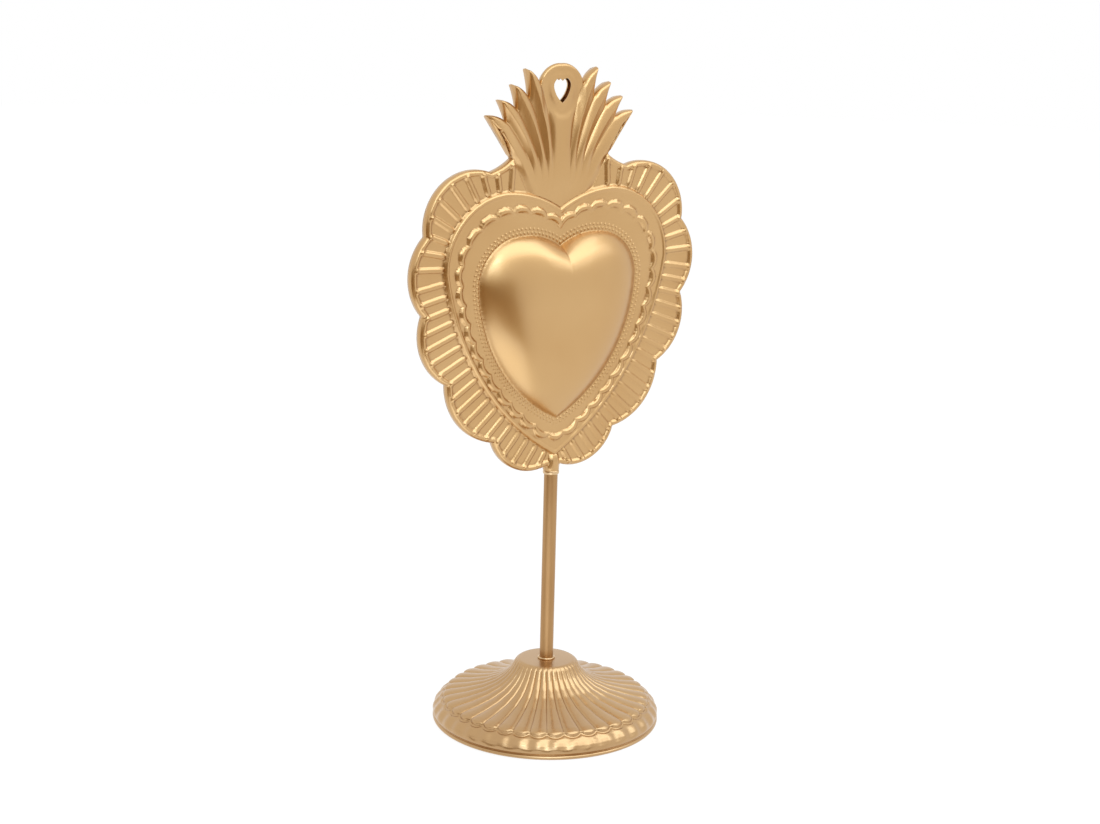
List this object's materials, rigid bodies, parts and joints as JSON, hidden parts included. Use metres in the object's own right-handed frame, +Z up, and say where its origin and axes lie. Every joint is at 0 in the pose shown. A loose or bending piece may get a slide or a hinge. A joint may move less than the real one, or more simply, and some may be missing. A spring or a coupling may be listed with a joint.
{
  "type": "table ornament",
  "caption": "Pressed tin sacred-heart ornament with a flame crown and hanging hole, on a stem with a round fluted foot.",
  "frame": {"origin": "on the resting face, under the stem's axis", "axes": "+Z up along the stem, -Y out of the front face of the heart, +X to the heart's left side as it is seen from its front's right hand"},
  "size_m": [0.1496, 0.1046, 0.3001],
  "materials": {
    "gold_tin": "satin",
    "foot_tin": "satin",
    "stem_gold": "satin",
    "solder": "satin",
    "floor_steel": "dull",
    "zinc_steel": "satin",
    "felt": "matt"
  },
  "bodies": {
    "root": {"heart_front_shell": "gold_tin", "heart_back_shell": "gold_tin", "foot_shell": "foot_tin", "stem_rod": "stem_gold", "neck_solder_fillet": "solder", "foot_solder_ring": "solder", "rim_solder_tacks": "solder", "floor_plate": "floor_steel", "felt_pad": "felt", "plain_washer": "zinc_steel", "spring_washer": "zinc_steel", "stem_nut": "zinc_steel"}
  },
  "joints": []
}
